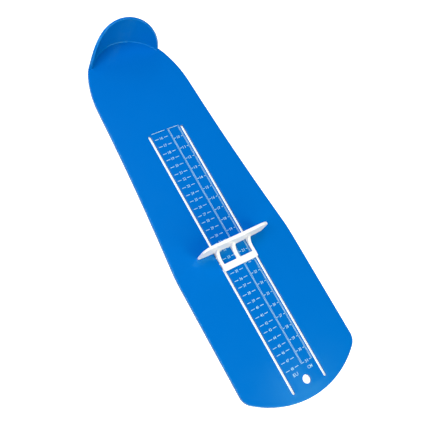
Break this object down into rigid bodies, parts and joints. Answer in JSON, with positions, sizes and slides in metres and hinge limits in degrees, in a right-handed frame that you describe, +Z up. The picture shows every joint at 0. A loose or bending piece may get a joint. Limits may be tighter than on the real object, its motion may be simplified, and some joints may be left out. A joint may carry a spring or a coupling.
{
  "type": "foot measuring gauge",
  "caption": "Foot measuring gauge: a flat rounded plate with a raised heel cup, and an upright toe stop that slides along two slots beside a printed length scale.",
  "frame": {"origin": "middle of the footprint, on the surface that the plate lies on", "axes": "+X across the plate, to the right as the scale is read, +Y along the plate from the toe end to the heel cup, +Z up out of the plate's top"},
  "size_m": [0.1114, 0.3386, 0.0354],
  "materials": {
    "blue_plastic": "satin",
    "white_plastic": "satin"
  },
  "bodies": {
    "plate": {"base_plate": "blue_plastic"},
    "stop": {"toe_stop": "white_plastic"}
  },
  "joints": [
    {"name": "toe_stop_slide", "type": "slide", "parent": "plate", "child": "stop", "axis": [0, -1, 0], "range_m": [-0.11, 0.11]}
  ]
}
